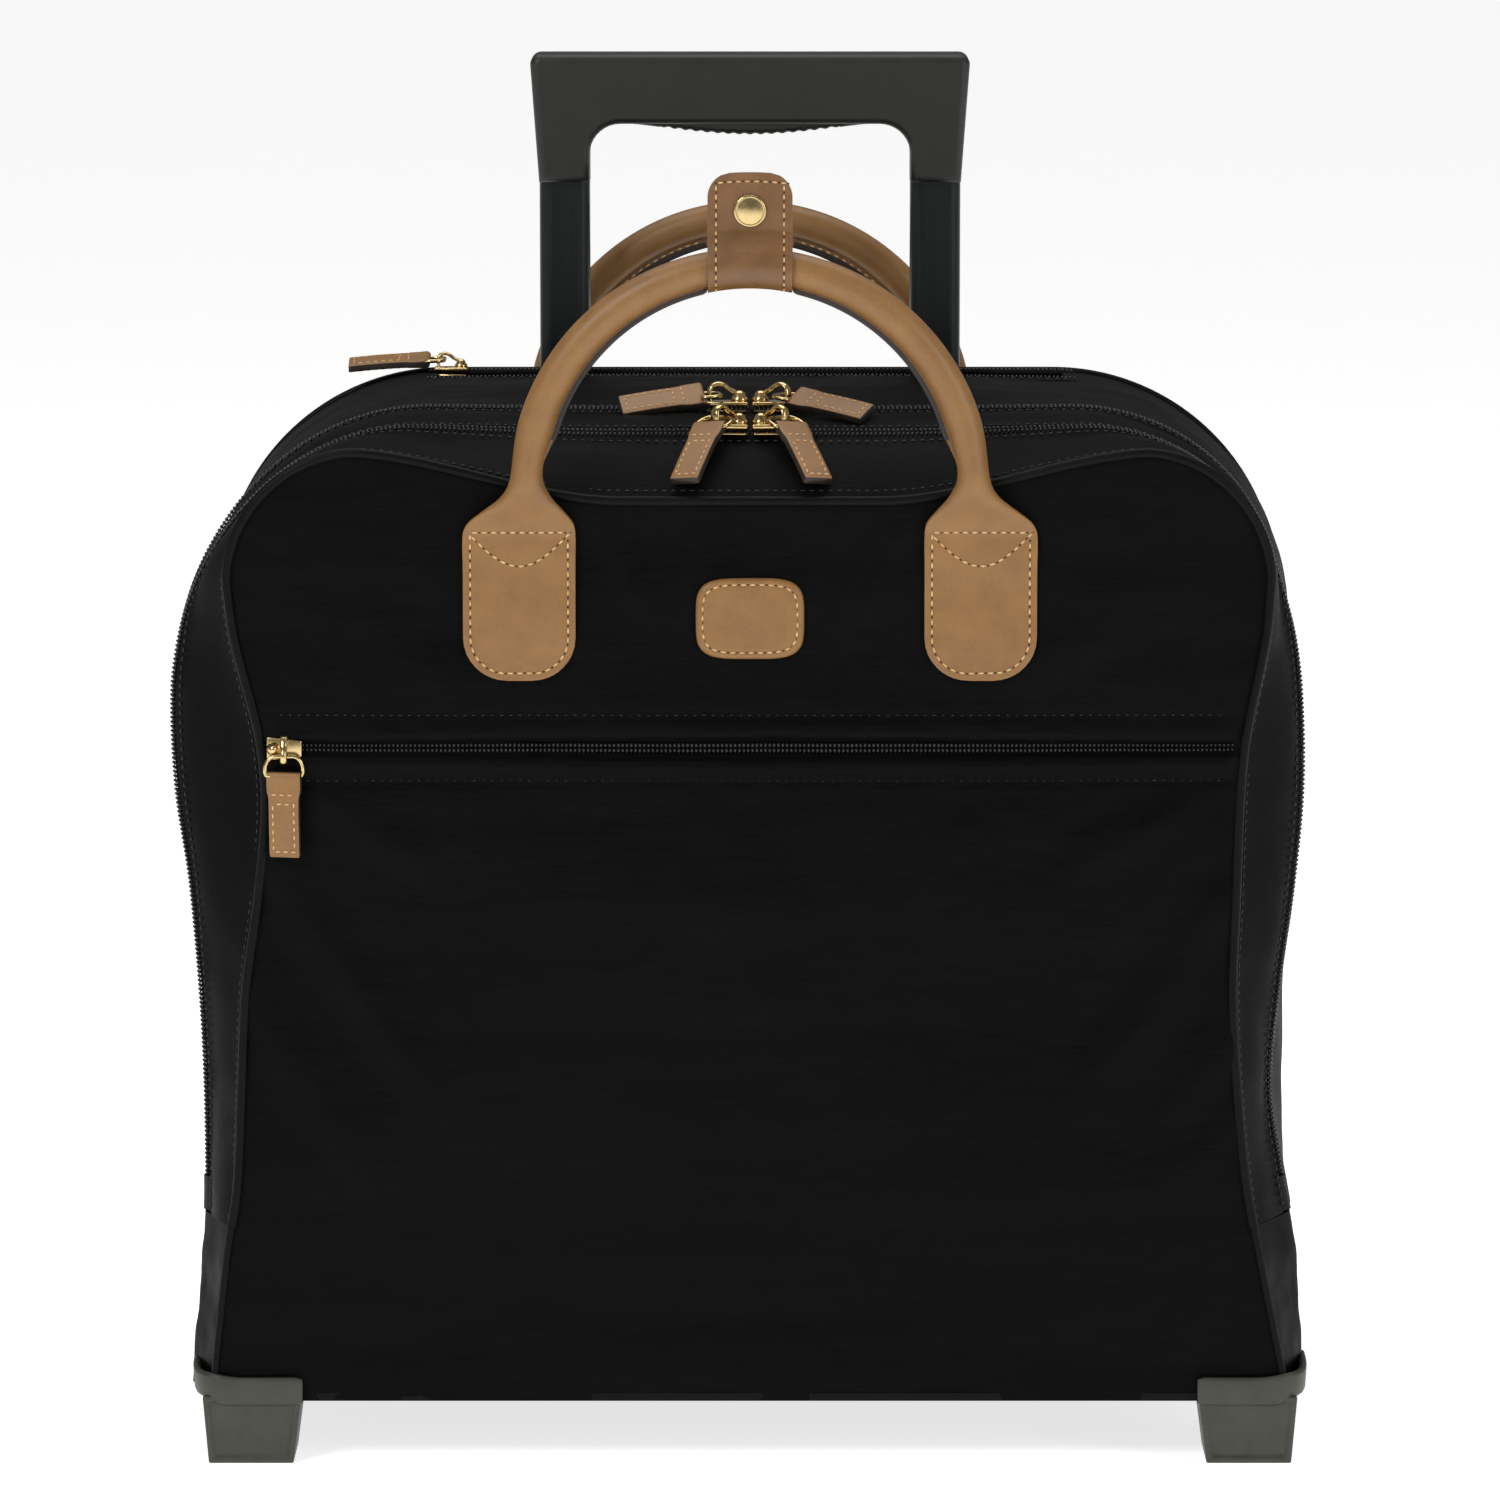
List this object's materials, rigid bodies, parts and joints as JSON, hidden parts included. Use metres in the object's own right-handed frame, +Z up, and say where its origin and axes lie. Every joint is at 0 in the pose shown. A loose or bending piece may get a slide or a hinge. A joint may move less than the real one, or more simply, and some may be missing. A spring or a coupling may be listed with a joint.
{
  "type": "pilot rolling flight case",
  "caption": "Soft-sided wheeled flight case with leather carry handles, zipped fold-open front sections, feet, wheels and a telescopic trolley handle.",
  "frame": {"origin": "on the floor, at the middle of the case's bounding box", "axes": "+X to the right as the case is seen from the front, -Y towards the front, +Z up"},
  "size_m": [0.4184, 0.2348, 0.5171],
  "materials": {
    "case_nylon": "matt ballistic nylon with a fine slub",
    "lining": "plain woven lining",
    "zip_tape": "woven zip tape with black coil teeth",
    "stiffener_board": "ribbed stiffener board",
    "foot_plastic": "moulded, fine grain",
    "steel": "zinc plated",
    "trolley_tube": "satin black coat over drawn aluminium",
    "grip_plastic": "moulded, fine grain",
    "tan_leather": "pull-up leather with dark painted edges",
    "brass": "polished, light wear",
    "tyre_rubber": "moulded polyurethane tread"
  },
  "bodies": {
    "case_body": {"main_gusset": "case_nylon", "bottom_panel": "case_nylon", "front_base_wall": "case_nylon", "back_panel": "case_nylon", "tube_board": "stiffener_board", "main_zip_rear_row": "zip_tape", "rear_zip_rows": "zip_tape", "base_board": "stiffener_board", "front_feet": "foot_plastic", "base_screws": "steel", "wheel_housings": "foot_plastic", "wheel_axles": "steel", "outer_tubes": "trolley_tube", "tube_top_housing": "grip_plastic", "tube_foot_bracket": "grip_plastic", "bracket_rivets": "steel", "rear_handle_tabs": "tan_leather"},
    "middle_section": {"middle_gusset": "case_nylon", "middle_wall": "lining", "front_zip_rear_row": "zip_tape", "main_zip_front_row": "zip_tape"},
    "front_section": {"front_panel": "case_nylon", "front_gusset": "case_nylon", "front_zip_front_row": "zip_tape", "pocket_zip_rows": "zip_tape", "name_patch": "tan_leather", "front_handle_tabs": "tan_leather"},
    "front_handle": {"front_handle": "tan_leather", "wrap_strap": "tan_leather", "snap_socket": "brass"},
    "wrap_flap": {"wrap_flap": "tan_leather", "snap_cap": "brass"},
    "rear_handle": {"rear_handle": "tan_leather"},
    "trolley_lower": {"mid_tubes": "trolley_tube", "mid_tube_collars": "grip_plastic"},
    "trolley_grip": {"top_tubes": "trolley_tube", "top_tube_shoes": "grip_plastic", "grip_body": "grip_plastic", "trigger_springs": "steel"},
    "trolley_trigger": {"grip_trigger": "grip_plastic", "push_rods": "steel"},
    "front_zip_slider_left": {"front_zip_slider_left": "brass"},
    "front_zip_pull_left": {"front_zip_pull_left": "tan_leather"},
    "front_zip_slider_right": {"front_zip_slider_right": "brass"},
    "front_zip_pull_right": {"front_zip_pull_right": "tan_leather"},
    "main_zip_slider_left": {"main_zip_slider_left": "brass"},
    "main_zip_pull_left": {"main_zip_pull_left": "tan_leather"},
    "main_zip_slider_right": {"main_zip_slider_right": "brass"},
    "main_zip_pull_right": {"main_zip_pull_right": "tan_leather"},
    "rear_zip_slider": {"rear_zip_slider": "brass"},
    "rear_zip_pull": {"rear_zip_pull": "tan_leather"},
    "pocket_zip_slider": {"pocket_zip_slider": "brass"},
    "pocket_zip_pull": {"pocket_zip_pull": "tan_leather"},
    "wheel_left": {"wheel_hub_left": "foot_plastic", "wheel_tyre_left": "tyre_rubber", "wheel_bearings_left": "steel"},
    "wheel_right": {"wheel_hub_right": "foot_plastic", "wheel_tyre_right": "tyre_rubber", "wheel_bearings_right": "steel"}
  },
  "joints": [
    {"name": "middle_section_fold", "type": "hinge", "parent": "case_body", "child": "middle_section", "pos_m": [0, -0.1, 0.09], "axis": [1, 0, 0], "range_deg": [0, 45]},
    {"name": "front_section_fold", "type": "hinge", "parent": "middle_section", "child": "front_section", "pos_m": [0, -0.1, 0.09], "axis": [1, 0, 0], "range_deg": [0, 45]},
    {"name": "front_handle_swing", "type": "hinge", "parent": "front_section", "child": "front_handle", "pos_m": [0, -0.1028, 0.35815], "axis": [1, 0, 0], "range_deg": [0, 110]},
    {"name": "rear_handle_swing", "type": "hinge", "parent": "case_body", "child": "rear_handle", "pos_m": [0, 0.1028, 0.35815], "axis": [-1, 0, 0], "range_deg": [0, 110]},
    {"name": "wrap_flap_open", "type": "hinge", "parent": "front_handle", "child": "wrap_flap", "pos_m": [0, -0.11619, 0.45538], "axis": [1, 0, 0], "range_deg": [0, 100]},
    {"name": "trolley_lower_slide", "type": "slide", "parent": "case_body", "child": "trolley_lower", "axis": [0, 0, 1], "range_m": [0, 0.26]},
    {"name": "trolley_upper_slide", "type": "slide", "parent": "trolley_lower", "child": "trolley_grip", "axis": [0, 0, 1], "range_m": [-0.131, 0.12]},
    {"name": "trigger_squeeze", "type": "slide", "parent": "trolley_grip", "child": "trolley_trigger", "axis": [0, 0, 1], "range_m": [0, 0.004], "stiffness_N_per_m": 800, "springref_m": -0.004, "deforming": ["trigger_springs"]},
    {"name": "front_zip_run_left", "type": "slide", "parent": "front_section", "child": "front_zip_slider_left", "axis": [1, 0, 0], "range_m": [-0.1, 0]},
    {"name": "front_zip_pull_swing_left", "type": "hinge", "parent": "front_zip_slider_left", "child": "front_zip_pull_left", "pos_m": [-0.01054, -0.07084, 0.3911], "axis": [0.766, -0.6428, 0], "range_deg": [-100, 0]},
    {"name": "front_zip_run_right", "type": "slide", "parent": "front_section", "child": "front_zip_slider_right", "axis": [1, 0, 0], "range_m": [0, 0.1]},
    {"name": "front_zip_pull_swing_right", "type": "hinge", "parent": "front_zip_slider_right", "child": "front_zip_pull_right", "pos_m": [0.01061, -0.07078, 0.3911], "axis": [0.7431, 0.6691, 0], "range_deg": [-100, 0]},
    {"name": "main_zip_run_left", "type": "slide", "parent": "middle_section", "child": "main_zip_slider_left", "axis": [1, 0, 0], "range_m": [-0.1, 0]},
    {"name": "main_zip_pull_swing_left", "type": "hinge", "parent": "main_zip_slider_left", "child": "main_zip_pull_left", "pos_m": [-0.01138, -0.03733, 0.3961], "axis": [0.1392, -0.9903, 0], "range_deg": [-100, 0]},
    {"name": "main_zip_run_right", "type": "slide", "parent": "middle_section", "child": "main_zip_slider_right", "axis": [1, 0, 0], "range_m": [0, 0.1]},
    {"name": "main_zip_pull_swing_right", "type": "hinge", "parent": "main_zip_slider_right", "child": "main_zip_pull_right", "pos_m": [0.01103, -0.03827, 0.3961], "axis": [0.5299, 0.848, 0], "range_deg": [-100, 0]},
    {"name": "rear_zip_run", "type": "slide", "parent": "case_body", "child": "rear_zip_slider", "axis": [1, 0, 0], "range_m": [0, 0.235]},
    {"name": "rear_zip_pull_swing", "type": "hinge", "parent": "rear_zip_slider", "child": "rear_zip_pull", "pos_m": [-0.1198, 0.094, 0.3961], "axis": [0, -1, 0], "range_deg": [-100, 0]},
    {"name": "pocket_zip_run", "type": "slide", "parent": "front_section", "child": "pocket_zip_slider", "axis": [1, 0, 0], "range_m": [0, 0.344]},
    {"name": "pocket_zip_pull_swing", "type": "hinge", "parent": "pocket_zip_slider", "child": "pocket_zip_pull", "pos_m": [-0.172, -0.1061, 0.2691], "axis": [1, 0, 0], "range_deg": [-90, 4]},
    {"name": "wheel_spin_left", "type": "hinge", "parent": "case_body", "child": "wheel_left", "pos_m": [-0.186, 0.0904, 0.027], "axis": [1, 0, 0], "continuous": true},
    {"name": "wheel_spin_right", "type": "hinge", "parent": "case_body", "child": "wheel_right", "pos_m": [0.186, 0.0904, 0.027], "axis": [1, 0, 0], "continuous": true}
  ]
}
